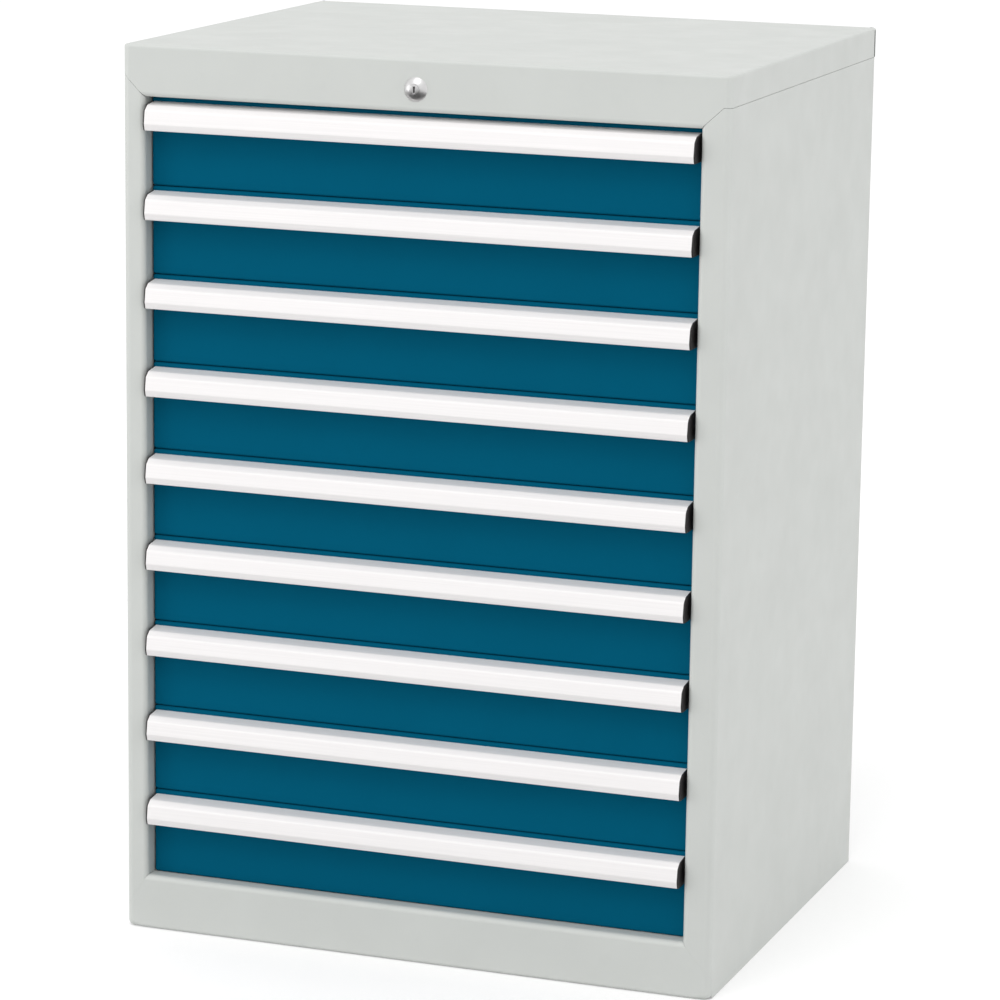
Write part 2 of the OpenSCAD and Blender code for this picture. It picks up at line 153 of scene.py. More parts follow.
case_coat = powder_coat("case_powder_coat", CASE_GREY, specular=0.4, rub=0.1)
for node in ("base_pan", "back_panel"):
    dress(node, case_coat)

# Uprights and cabinet rails
# Folded channels in the corners of the case, and a rail for each drawer riveted to them,
# all of zinc-plated steel strip with a fine crystalline bloom. The hidden parts of the lock
# have the same plating.
ZINC = (0.60, 0.62, 0.63)
CRYSTALS = 130.0


def zinc_plate(name):
    """Zinc plating: pale crystals with soft edges, and a dull bloom between them."""
    material, tree, shader, place = start_material(name, roughness=0.38, metallic=1.0, specular=0.5)
    crystals = tree.nodes.new("ShaderNodeTexVoronoi")
    crystals.inputs["Scale"].default_value = CRYSTALS
    tree.links.new(place, crystals.inputs["Vector"])
    bloom = patches(tree, grain(tree, place, cells=60.0, detail=5.0))
    flakes = mixed(tree, crystals.outputs["Distance"], shade(ZINC, 1.08), shade(ZINC, 0.88))
    tree.links.new(mixed(tree, bloom, flakes, shade(ZINC, 0.97)), shader.inputs["Base Color"])
    dull = patches(tree, grain(tree, place, cells=90.0, detail=4.0), low=0.28, high=0.48)
    tree.links.new(dull, shader.inputs["Roughness"])
    relief(tree, shader, [(grain(tree, place, cells=500.0, detail=3.0), 0.00003)])
    return material


zinc = zinc_plate("zinc_plated_steel")
for node in ("rail_uprights", "left_cabinet_rails", "right_cabinet_rails"):
    dress(node, zinc)
for node in ("lock_nut", "lock_cam", "locking_bar"):
    dress(node, zinc)

# Side panels
# Each is one sheet of 1.5 mm steel, folded into a round front corner, a narrow stile and its
# return beside the drawers, and a flange at the back. The stile is cut to a mitre at both ends.
MM = 0.001
FRONT_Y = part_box("left_side_panel")[0].y / MM
HALF_W = 352.5
DEPTH = 572.0
HEIGHT = 1019.0
SHEET = 1.5
CORNER_R = 8.0
REAR_R = 4.0
BEND_R = 3.0
OPENING_R = 6.0
STILE_W = 29.5
DRAWER_SHIFT = 3.5
OPEN_RIGHT = HALF_W - STILE_W - DRAWER_SHIFT
OPEN_LEFT = HALF_W - STILE_W + DRAWER_SHIFT
STILE_RETURN = 24.0
FLANGE = 20.0
FLANGE_FRONT = 60.0
FLANGE_BACK = 549.5
FASCIA_H = 57.5
SKIRT_H = 34.5
FASCIA_Z = HEIGHT - FASCIA_H
SKIRT_Z = HEIGHT - SKIRT_H
RAIL_Z = 63.5
FOOT_Z = 23.0
SEAM = 0.06
WELD_SEAM = 0.02
CUT_EDGE = 0.7
WELD_EDGE = 0.12
TOE_L = 18.0
TOE_LIFT = 2.5
TOE_STEPS = 6
# Straight stretch between the round corner and the first point of the toe
TOE_START = 1.0
# Slack when a point is compared with a line of the case
NEAR = 0.1
# Height of a section that is drawn with its two edges far apart
FAR = 100.0
# Turn between two faces, in degrees, from which their edge stays sharp
SHARP_TURN = 34.0
# Least share that a length is divided by, and least turn of a corner that is rounded
TINY = 1e-9
LEAST_TURN = 1e-6


def rounded_path(corners, radii, closed=False, steps=8, hold=0.4):
    """A line through the corners that turns each on an arc of its radius.

    Each point comes with the unit vector to its left, a mitre vector at a sharp corner, and a
    mark that is 1 on an arc. A point close before and after each arc holds the straight flat.
    """
    corners = np.asarray(corners, float)
    points, lefts, marks = [], [], []
    for i, here in enumerate(corners):
        last, following = corners[i - 1], corners[(i + 1) % len(corners)]
        into = here - last
        out = following - here
        if not closed and i == 0:
            into = out
        if not closed and i == len(corners) - 1:
            out = into
        into = into / np.hypot(*into)
        out = out / np.hypot(*out)
        left_in = np.array([-into[1], into[0]])
        left_out = np.array([-out[1], out[0]])
        turn = math.atan2(into[0] * out[1] - into[1] * out[0], into @ out)
        if radii[i] <= 0 or abs(turn) < LEAST_TURN:
            points.append(here[None])
            lefts.append(((left_in + left_out) / (1 + left_in @ left_out))[None])
            marks.append(np.zeros(1))
            continue
        side = math.copysign(1.0, turn)
        reach = radii[i] * math.tan(abs(turn) / 2)
        centre = here - into * reach + left_in * radii[i] * side
        angle = np.linspace(0.0, turn, steps + 1)
        arc_left = np.stack([left_in[0] * np.cos(angle) - left_in[1] * np.sin(angle),
                             left_in[0] * np.sin(angle) + left_in[1] * np.cos(angle)], 1)
        points += [(here - into * (reach + hold))[None], centre - arc_left * radii[i] * side,
                   (here + out * (reach + hold))[None]]
        lefts += [left_in[None], arc_left, left_out[None]]
        marks += [np.zeros(1), np.ones(steps + 1), np.zeros(1)]
    return np.concatenate(points), np.concatenate(lefts), np.concatenate(marks)


def tube(grid, marks=None, capped=True, drop=(), toward=None):
    """A grid of points that is closed round its second axis, with flat caps over both ends.

    Quads in drop are left out. The faces turn outwards by the sign of the volume that they
    hold or, on an open piece, so that the first one looks along toward.
    """
    rows, ring = grid.shape[:2]
    index = np.arange(rows * ring).reshape(rows, ring)
    beside = np.roll(index, -1, axis=1)
    quads = np.stack([index[:-1], index[1:], beside[1:], beside[:-1]], -1)
    keep = np.ones((rows - 1, ring), bool)
    for row, column in drop:
        keep[row, column] = False
    quads = quads[keep]
    points = grid.reshape(-1, 3)
    ends = [index[0], index[-1][::-1]] if capped else []
    triangles = [quads[:, [0, 1, 2]], quads[:, [0, 2, 3]]]
    for end in ends:
        triangles.append(np.stack([np.full(ring - 2, end[0]), end[1:-1], end[2:]], 1))
    a, b, c = (points[np.concatenate(triangles)[:, k]] for k in range(3))
    if toward is None:
        middle = points.mean(0)
        turned = np.einsum("ij,ij->", a - middle, np.cross(b - middle, c - middle)) < 0
    else:
        turned = np.cross(b[0] - a[0], c[0] - a[0]) @ np.asarray(toward, float) < 0
    faces = quads.tolist() + [end.tolist() for end in ends]
    if turned:
        faces = [face[::-1] for face in faces]
    if marks is None:
        marks = np.zeros((rows, ring))
    return points, faces, np.broadcast_to(marks, (rows, ring)).reshape(-1)


def in_plan(x, y, height):
    """Depths are counted from the stiles' face; all sizes turn from millimetres to metres."""
    x, y, height = np.broadcast_arrays(x, y, height)
    return np.stack([x, y + FRONT_Y, height], -1) * MM


def in_profile(y, z, along):
    """A section in depth and height, carried along the width."""
    return in_plan(along, y, z)


def cut_ring(thickness, low_edge, high_edge):
    """Section across a sheet with softened cut edges: depth into the sheet, distance from the
    cut edge, and whether that is the upper edge."""
    corners = [(0, 0), (thickness, 0), (thickness, FAR), (0, FAR)]
    ring = rounded_path(corners, [low_edge, low_edge, high_edge, high_edge], closed=True, steps=3)[0]
    upper = ring[:, 1] > FAR / 2
    return ring[:, 0], np.where(upper, FAR - ring[:, 1], ring[:, 1]), upper


def folded_sheet(corners, radii, low, high, thickness, place, low_edge=CUT_EDGE, high_edge=CUT_EDGE):
    """A sheet folded along a path: the cut ring set on each point of the path, square to it.

    low and high give the two cut edges, as numbers or as functions of the path's points, and
    low_edge and high_edge how round they are.
    """
    path, lefts, marks = rounded_path(corners, radii)
    depth, inset, upper = cut_ring(thickness, low_edge, high_edge)
    section = path[:, None] + lefts[:, None] * depth[None, :, None]
    bottom = np.broadcast_to(low(path) if callable(low) else low, len(path))
    top = np.broadcast_to(high(path) if callable(high) else high, len(path))
    level = np.where(upper, top[:, None] - inset, bottom[:, None] + inset)
    return tube(place(section[..., 0], section[..., 1], level), marks[:, None])


def make_piece(name, shells, material, slot, body, *nodes):
    """One mesh from the shells, smooth over its bends, in place of the nodes that it stands for."""
    start = np.cumsum([0] + [len(points) for points, _, _ in shells])
    faces = [[v + first for v in face] for (_, group, _), first in zip(shells, start) for face in group]
    mesh = bpy.data.meshes.new(name)
    mesh.from_pydata(np.concatenate([points for points, _, _ in shells]), [], faces)
    mesh.attributes.new("bend", "FLOAT", "POINT").data.foreach_set(
        "value", np.concatenate([marks for _, _, marks in shells]).astype(np.float32))
    mesh.polygons.foreach_set("use_smooth", np.ones(len(mesh.polygons), bool))
    mesh.set_sharp_from_angle(angle=math.radians(SHARP_TURN))
    mesh.materials.append(material)
    piece = bpy.data.objects.new(name, mesh)
    bpy.context.scene.collection.objects.link(piece)
    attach(piece, body)
    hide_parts(*nodes)
    return piece


def mirrored(shell):
    """The same shell on the other side of the cabinet, turned outwards again."""
    points, faces, marks = shell
    return points * (-1, 1, 1), [face[::-1] for face in faces], marks


def mitre_top(x, opening):
    """Upper edge of a stile: it climbs at 45 degrees from the opening to the skirt of the top cover."""
    return np.minimum(FASCIA_Z + np.abs(x) - opening, SKIRT_Z)


def mitre_foot(x, opening):
    """Lower edge of a stile: a slant from the opening's corner down to the foot of the corner."""
    return RAIL_Z - (np.abs(x) - opening) * (RAIL_Z - FOOT_Z) / (HALF_W - opening)


def side_shells(opening):
    """The folded side with its mitred stile and rounded toe, and the flange inside its top."""
    toe = [(HALF_W, y) for y in np.linspace(CORNER_R + TOE_START, TOE_L, TOE_STEPS)]
    stile = [(opening, STILE_RETURN), (opening, 0), (HALF_W, 0)]
    corners = [*stile, *toe, (HALF_W, DEPTH), (HALF_W - FLANGE, DEPTH)]
    radii = [0, OPENING_R, CORNER_R, *[0] * len(toe), REAR_R, 0]

    def foot(path):
        lift = TOE_LIFT * (np.clip(TOE_L - path[:, 1], 0.0, None) / (TOE_L - CORNER_R)) ** 2
        behind = np.where(path[:, 0] < opening + NEAR, RAIL_Z + WELD_SEAM, lift)
        return np.where(path[:, 1] < CORNER_R + NEAR, mitre_foot(path[:, 0], opening) + WELD_SEAM, behind)

    def head(path):
        stile_top = mitre_top(path[:, 0], opening)
        return np.where(path[:, 1] < STILE_RETURN + NEAR, stile_top, SKIRT_Z) - SEAM

    sheet = folded_sheet(corners, radii, foot, head, SHEET, in_plan, WELD_EDGE)
    flange = folded_sheet([(HALF_W - FLANGE, SKIRT_Z), (HALF_W - SHEET, SKIRT_Z)], [0, 0],
                          FLANGE_FRONT, FLANGE_BACK, -SHEET, lambda x, z, y: in_plan(x, y, z))
    return [sheet, flange]


right_side = side_shells(OPEN_RIGHT)
left_side = [mirrored(shell) for shell in side_shells(OPEN_LEFT)]
make_piece("right_side_sheet", right_side, case_coat, "case_grey", "cabinet", "right_side_panel")
make_piece("left_side_sheet", left_side, case_coat, "case_grey", "cabinet", "left_side_panel")

# Bottom rail
# A front sheet under the drawers that turns the round corners of the case, with a flange folded
# back under the lowest drawer and a lip folded back on the floor. Its ends are mitred and welded.
RAIL_BEND = 4.0
RAIL_CORNER = 6.5
CORNER_RUN = 12.0
RUN_STEPS = 5
# Straight stretch between the round corner and the run in which the floor bend grows
RUN_END = 0.5
# Distance that the floor lip stops short of the centre of the round corner
LIP_SHORT = 1.0
# Length over which an edge changes its height at once
STEP = 0.05


def rail_ring(bend):
    """Section of the rail's sheet: upright, folded back on the floor with an outside radius bend."""
    corners = [(0, FAR), (0, 0), (FAR, 0), (FAR, SHEET), (SHEET, SHEET), (SHEET, FAR)]
    radii = [WELD_EDGE, bend, CUT_EDGE, CUT_EDGE, bend - SHEET, WELD_EDGE]
    return rounded_path(corners, radii, closed=True, steps=5)


def mitre_reach(z, opening):
    """Distance from the middle at which the rail's mitre has the height z."""
    return opening + (RAIL_Z - z) * (HALF_W - opening) / (RAIL_Z - FOOT_Z)


def rail_shells():
    """Front sheet round the corners, its floor lip, and the flange between the stiles."""
    bend_z = RAIL_Z - OPENING_R - CUT_EDGE
    reach_left, reach_right = (mitre_reach(bend_z, opening) for opening in (OPEN_LEFT, OPEN_RIGHT))
    start = HALF_W - CORNER_R - RUN_END
    stops = [*np.linspace(start - CORNER_RUN, start, RUN_STEPS), HALF_W]
    stops += [-x for x in stops]
    stops += [x + side * STEP for x in (-reach_left, reach_right) for side in (-1, 1)]
    corners = [(-HALF_W, CORNER_R), *[(x, 0) for x in sorted(stops)], (HALF_W, CORNER_R)]
    radii = [CORNER_R if abs(x) == HALF_W and y == 0 else 0.0 for x, y in corners]
    path, lefts, marks = rounded_path(corners, radii)
    between = (path[:, 0] > -reach_left) & (path[:, 0] < reach_right)
    slant = mitre_foot(path[:, 0], np.where(path[:, 0] > 0, OPEN_RIGHT, OPEN_LEFT)) - WELD_SEAM
    top = np.where(between, bend_z, slant)
    lip = np.where(between, STILE_RETURN, CORNER_R - LIP_SHORT)
    plain, _, turns = rail_ring(RAIL_BEND)
    rounder, _, _ = rail_ring(RAIL_CORNER)
    share = np.clip((np.abs(path[:, 0]) - start + CORNER_RUN) / CORNER_RUN, 0.0, 1.0)
    share = (share * share * (3 - 2 * share))[:, None, None]
    ring = plain[None] * (1 - share) + rounder[None] * share
    inward, upward = ring[..., 0], ring[..., 1]
    depth = np.where(inward > FAR / 2, lip[:, None] - FAR + inward, inward)
    soft = np.where(between, 0.0, 1.0)[:, None]
    level = np.where(upward > FAR / 2, top[:, None] - (FAR - upward) * soft, upward)
    section = path[:, None] + lefts[:, None] * depth[..., None]
    sheet = tube(in_plan(section[..., 0], section[..., 1], level), np.maximum(marks[:, None], turns))

    def left_end(line):
        return WELD_SEAM - mitre_reach(line[:, 1], OPEN_LEFT)

    def right_end(line):
        return mitre_reach(line[:, 1], OPEN_RIGHT) - WELD_SEAM

    flange = folded_sheet([(STILE_RETURN, RAIL_Z), (0, RAIL_Z), (0, bend_z)], [0, OPENING_R, 0],
                          left_end, right_end, SHEET, in_profile, WELD_EDGE, WELD_EDGE)
    return [sheet, flange]


make_piece("bottom_rail_sheet", rail_shells(), case_coat, "case_grey", "cabinet", "bottom_rail")

# Top cover
# One pan of sheet steel over the whole case: the lid, skirts on the sides and back, and a deeper
# fascia in front with a flange under it. The back corners stay open seams, and the ends of the
# fascia are mitred into the stiles.
SEAM_SLOT = 4.0
# Distance from the lid's bend down to the end of a back corner's open seam
SLOT_END = 1.0
LID_RIM = 6.0
FASCIA_FLANGE = 30.0
FASCIA_BEND_Z = FASCIA_Z + OPENING_R + CUT_EDGE
LOCK_X = -4.0
LOCK_DROP = 32.5
LOCK_Z = HEIGHT - LOCK_DROP
LOCK_PATCH = 20.0
BARREL_HOLE = 9.2
HOLE_STEPS = 48


def cover_edge(path):
    """Lower edge of the cover round its outline: fascia, mitres, skirts and open back corners."""
    x, y = path[:, 0], path[:, 1]
    mitre = mitre_top(x, np.where(x > 0, OPEN_RIGHT, OPEN_LEFT)) + SEAM
    front = np.maximum(mitre, FASCIA_BEND_Z)
    slot = (np.abs(x) > HALF_W - NEAR) & (y > DEPTH - SHEET - SEAM_SLOT) & (y < DEPTH - SHEET)
    behind = np.where(slot, HEIGHT - BEND_R - SLOT_END, SKIRT_Z + SEAM)
    return np.where(y < CORNER_R + NEAR, front, behind)


def hole_patch(low, high):
    """Flat ring from a rectangle to a round hole, on both faces of the sheet and through the hole."""
    middle = np.array([LOCK_X, LOCK_Z])
    corners = np.array([(low[0], low[1]), (high[0], low[1]), (high[0], high[1]), (low[0], high[1])])
    reach = corners - middle
    angle = np.sort(np.concatenate([np.linspace(-math.pi, math.pi, HOLE_STEPS, endpoint=False),
                                    np.arctan2(reach[:, 1], reach[:, 0])]))
    ray = np.stack([np.cos(angle), np.sin(angle)], 1)
    span = np.where(ray > 0, np.array(high) - middle, middle - np.array(low))
    length = np.min(span / np.maximum(np.abs(ray), TINY), axis=1)
    edge = ray * length[:, None] + middle
    hole = ray * BARREL_HOLE + middle
    rings = [in_plan(edge[:, 0], 0.0, edge[:, 1]), in_plan(hole[:, 0], 0.0, hole[:, 1]),
             in_plan(hole[:, 0], SHEET, hole[:, 1]), in_plan(edge[:, 0], SHEET, edge[:, 1])]
    return tube(np.stack(rings), capped=False, toward=(0, -1, 0))


def cover_outline():
    """The cover's outline round the front, with a stop at each change of its edge, and the ends of
    the stretch over the flange."""
    bend = OPENING_R + CUT_EDGE - SEAM
    left_stop = -OPEN_LEFT - bend
    right_stop = OPEN_RIGHT + bend
    slot_ends = (DEPTH - SHEET - SEAM_SLOT, DEPTH - SHEET)
    back_stops = [y + side * STEP for y in slot_ends for side in (-1, 1)]
    lock_ends = (LOCK_X - LOCK_PATCH, LOCK_X + LOCK_PATCH)
    front_stops = [left_stop, left_stop + STEP, *lock_ends, right_stop - STEP, right_stop]
    left = [(-HALF_W, y) for y in [DEPTH, *back_stops[::-1], 0]]
    right = [(HALF_W, y) for y in [0, *back_stops, DEPTH]]
    over_flange = (left_stop + STEP / 2, right_stop - STEP / 2)
    return left + [(x, 0) for x in front_stops] + right, over_flange


def cover_shells():
    """The pan round its outline, the ring round the lock, and the flange under the fascia."""
    corners, (joined_left, joined_right) = cover_outline()
    radii = [CORNER_R if abs(x) == HALF_W and y == 0 else 0.0 for x, y in corners]
    path, lefts, marks = rounded_path(corners, radii, closed=True)
    sheet_line = [(LID_RIM, 0), (0, 0), (0, FAR), (SHEET, FAR), (SHEET, SHEET), (LID_RIM, SHEET)]
    sheet_radii = [0, BEND_R, CUT_EDGE, CUT_EDGE, BEND_R - SHEET, 0]
    profile, _, turns = rounded_path(sheet_line, sheet_radii, steps=6)
    inward, downward = profile[:, :1], profile[:, 1:]
    section = path[None] + lefts[None] * inward[:, :, None]
    joined = (path[:, 1] < NEAR) & (path[:, 0] > joined_left) & (path[:, 0] < joined_right)
    soft = np.where(joined, 0.0, 1.0)
    edge = cover_edge(path)[None] + (FAR - downward) * soft
    level = np.where(downward > FAR / 2, edge, HEIGHT - downward)
    column = int(np.argmin(np.abs(path[:, 0] - (LOCK_X - LOCK_PATCH)) + np.abs(path[:, 1])))
    walls = np.flatnonzero(np.abs(np.diff(profile[:, 1])) > FAR / 2)
    pan = tube(in_plan(section[..., 0], section[..., 1], level), np.maximum(turns[:, None], marks[None]),
               drop=[(row, column) for row in walls])
    patch = hole_patch((LOCK_X - LOCK_PATCH, level[walls[0] + 1, column]),
                       (LOCK_X + LOCK_PATCH, level[walls[0], column]))

    def left_end(line):
        return FASCIA_Z + SEAM - OPEN_LEFT - line[:, 1]

    def right_end(line):
        return OPEN_RIGHT + line[:, 1] - FASCIA_Z - SEAM

    flange = folded_sheet([(0, FASCIA_BEND_Z), (0, FASCIA_Z), (FASCIA_FLANGE, FASCIA_Z)], [0, OPENING_R, 0],
                          left_end, right_end, SHEET, in_profile)
    return [pan, patch, flange]


make_piece("top_cover_sheet", cover_shells(), case_coat, "case_grey", "cabinet", "top_cover")

# Lock
# A cam lock through the fascia: a domed collar and barrel turned from brass and chrome plated,
# and a plug with a key slot that turns in it.
DOME_R = 13.5
DOME_H = 6.0
BARREL_R = 9.0
BARREL_END = 17.0
PLUG_R = 6.0
PLUG_SINK = 0.6
PLUG_FIT = 0.05
PLUG_PAST = 0.3
# Inset and depth of the rings that soften the edge of the plug's face
PLUG_SOFTENING = ((0.5, 0.0), (0.1, 0.15), (0.0, 0.5))
MOUTH_R = 0.3
MOUTH_EASE = 0.25
TAIL_W = 7.0
TAIL_END = 19.8
KEY_W = 2.0
KEY_H = 7.0
KEY_DEPTH = 12.0
DOME_STEPS = 20
ROUND_STEPS = 64
CHROME = (0.72, 0.715, 0.715)


def chrome_plate(name):
    """Polished chrome with faint haze and fine turning lines."""
    material, tree, shader, place = start_material(name, roughness=0.36, metallic=1.0, specular=0.5)
    haze = patches(tree, grain(tree, place, cells=220.0, detail=4.0))
    tree.links.new(mixed(tree, haze, shade(CHROME, 0.93), CHROME), shader.inputs["Base Color"])
    dull = patches(tree, grain(tree, place, cells=160.0, detail=3.0), low=0.3, high=0.42)
    tree.links.new(dull, shader.inputs["Roughness"])
    relief(tree, shader, [(grain(tree, place, cells=900.0, detail=2.0), 0.000004)])
    return material


def turned_rings(profile):
    """A profile of radius against depth carried round the lock's axis."""
    angle = np.linspace(0.0, 2 * math.pi, ROUND_STEPS, endpoint=False)
    radius, depth = profile[:, :1], profile[:, 1:]
    return in_plan(LOCK_X + radius * np.cos(angle), depth, LOCK_Z + radius * np.sin(angle))


def lock_housing_shell():
    """The collar's dome, its rim, the barrel and the bore, as one closed profile."""
    bore = PLUG_R + PLUG_FIT
    ball = (DOME_R ** 2 + DOME_H ** 2) / (2 * DOME_H)
    lean = np.linspace(math.asin((bore + MOUTH_R) / ball), math.asin(DOME_R / ball), DOME_STEPS)
    dome = np.stack([ball * np.sin(lean), ball - DOME_H - ball * np.cos(lean)], 1)
    mouth = dome[0, 1] + MOUTH_EASE
    back = np.array([(BARREL_R, 0.0), (BARREL_R, BARREL_END), (bore, BARREL_END), (bore, mouth)])
    return tube(turned_rings(np.concatenate([dome, back, dome[:1]])), capped=False, toward=(0, -1, 0))


def boxed_ring(half_w, half_h, angle):
    """Points of a rectangle along rays from its middle."""
    ray = np.stack([np.cos(angle), np.sin(angle)], 1)
    reach = np.min(np.array([half_w, half_h]) / np.maximum(np.abs(ray), TINY), axis=1)
    return ray * reach[:, None]


def lock_plug_shell():
    """Key slot, face, round body and square tail, as rings along the axis."""
    face = PLUG_SINK - DOME_H
    body_end = BARREL_END + PLUG_PAST
    corner = math.atan2(KEY_H, KEY_W)
    angle = np.sort(np.concatenate([np.linspace(0, 2 * math.pi, ROUND_STEPS, endpoint=False),
                                    [corner, math.pi - corner, math.pi + corner, 2 * math.pi - corner]]))
    round_ring = np.stack([np.cos(angle), np.sin(angle)], 1)
    slot = boxed_ring(KEY_W / 2, KEY_H / 2, angle)
    mouth = boxed_ring(KEY_W / 2 + MOUTH_EASE, KEY_H / 2 + MOUTH_EASE, angle)
    tail = boxed_ring(TAIL_W / 2, TAIL_W / 2, angle)
    rings = [(slot, face + KEY_DEPTH), (slot, face + MOUTH_EASE), (mouth, face)]
    for inset, sink in PLUG_SOFTENING:
        rings.append((round_ring * (PLUG_R - inset), face + sink))
    rings += [(round_ring * PLUG_R, body_end), (tail, body_end), (tail, TAIL_END)]
    return tube(np.stack([in_plan(LOCK_X + ring[:, 0], depth, LOCK_Z + ring[:, 1]) for ring, depth in rings]))


chrome = chrome_plate("chrome_plate")
make_piece("lock_collar", [lock_housing_shell()], chrome, "lock_chrome", "cabinet", "lock_housing")
make_piece("lock_core_plug", [lock_plug_shell()], chrome, "lock_chrome", "lock_core", "lock_plug")

# Drawers
# Each drawer is a tray of 1 mm sheet with a rail welded along both sides, a hollow front pan,
# and a beam on each side that runs out half as far as the drawer.
DRAWERS = 9
DRAWER_X = -DRAWER_SHIFT
PITCH = (FASCIA_Z - RAIL_Z) / DRAWERS
FRONT_Y0 = 18.0
FRONT_DEPTH = 20.0
TRAY_GREY = (0.60, 0.615, 0.60)
TRAY_W = 298.0
TRAY_Y = FRONT_Y0 + FRONT_DEPTH
TRAY_L = 497.5
TRAY_LIFT = 6.0
TRAY_DROP = 14.0
TRAY_H = PITCH - TRAY_LIFT - TRAY_DROP
TRAY_SHEET = 1.0
TRAY_RIM = 12.0
TRAY_CORNER = 2.0
TRAY_BEND = 1.8
HEM = 2.2
HEM_H = 10.0
HEM_R = 0.9
HEM_EDGE = 0.3
RAIL_LIFT = 25.0
RAIL_H = 45.0
RAIL_R = 1.6
RAIL_LIP = 309.5
RAIL_Y = 45.0
# Radius that a rounded outline keeps where its inset leaves none
LEAST_R = 0.02


def in_drawer(x, y, height):
    """Widths are counted from the middle of the drawers, which stand left of the cabinet's middle."""
    return in_plan(x + DRAWER_X, y, height)


def across_drawer(shell):
    """The same shell on the other side of a drawer, turned outwards again."""
    points, faces, marks = mirrored(shell)
    return points + (2 * DRAWER_X * MM, 0, 0), faces, marks


def drawer_z(k):
    """Height of the bottom of drawer k, counted from the top one."""
    return RAIL_Z + (DRAWERS - k) * PITCH


def inset_outlines(corners, radius, insets):
    """A rounded outline drawn again at each inset, its corners no rounder than the inset leaves them."""
    _, mitres, _ = rounded_path(corners, [0] * len(corners), closed=True)
    lines = []
    for inset in insets:
        moved = np.asarray(corners, float) + mitres * inset
        radii = [max(radius - inset, LEAST_R)] * len(corners)
        lines.append(rounded_path(moved, radii, closed=True, steps=6)[0])
    marks = rounded_path(corners, [radius] * len(corners), closed=True, steps=6)[2]
    return np.stack(lines), marks


def tray_shell(k):
    """A folded section, from the floor up the wall and back inside, carried round the tray."""
    low = drawer_z(k) + TRAY_LIFT
    back = TRAY_Y + TRAY_L
    hem_z = TRAY_H - HEM_H
    outer = [(TRAY_RIM, 0), (0, 0), (0, TRAY_H), (HEM, TRAY_H)]
    inner = [(HEM, hem_z), (TRAY_SHEET, hem_z), (TRAY_SHEET, TRAY_SHEET), (TRAY_RIM, TRAY_SHEET)]
    radii = [0, TRAY_BEND, HEM_R, HEM_R, HEM_EDGE, 0, TRAY_BEND - TRAY_SHEET, 0]
    profile, _, turns = rounded_path(outer + inner, radii, steps=4, hold=0.3)
    outline = [(-TRAY_W, TRAY_Y), (TRAY_W, TRAY_Y), (TRAY_W, back), (-TRAY_W, back)]
    section, marks = inset_outlines(outline, TRAY_CORNER, profile[:, 0])
    return tube(in_drawer(section[..., 0], section[..., 1], low + profile[:, 1:]),
                np.maximum(turns[:, None], marks[None]))


def drawer_rail_shell(k):
    """A channel on its side along the tray, open outwards."""
    low = drawer_z(k) + RAIL_LIFT
    high = low + RAIL_H
    corners = [(RAIL_LIP, high), (TRAY_W, high), (TRAY_W, low), (RAIL_LIP, low)]
    return folded_sheet(corners, [0, RAIL_R, RAIL_R, 0], RAIL_Y, TRAY_Y + TRAY_L, SHEET,
                        lambda x, z, y: in_drawer(x, y, z))


tray_coat = powder_coat("tray_powder_coat", TRAY_GREY, specular=0.4, rub=0.35)
for k in range(1, DRAWERS + 1):
    body = f"drawer_{k}"
    make_piece(f"{body}_tray_box", [tray_shell(k)], tray_coat, "tray_grey", body, f"{body}_tray")
    rail = drawer_rail_shell(k)
    make_piece(f"{body}_rails", [rail, across_drawer(rail)], zinc, "zinc_steel", body)
    dress(f"{body}_slide_beams", zinc)

# Drawer fronts
# Hollow pans of 1 mm sheet with round bends and lips behind, powder coated blue and screwed to
# the trays. The right flange has a slot for the lock's tongue.
FRONT_BLUE = (0.0004, 0.0925, 0.167)
SIDE_GAP = 1.5
FRONT_W = (OPEN_LEFT + OPEN_RIGHT) / 2 - SIDE_GAP
# A front reaches below the bottom of its drawer, or stops as far above it on the lowest drawer,
# and ends below the drawer's top
FRONT_LOW = -0.5
FRONT_HIGH = 1.1
FRONT_R = 3.0
FRONT_RIM = 8.0
FRONT_LIP = 13.5
BACK_R = 1.2
LIP_EDGE = 0.3
TONGUE_LIFT = 74.0
TONGUE_H = 10.0
TONGUE_Y = 25.0
TONGUE_T = 3.0
SLOT_FIT = 0.5


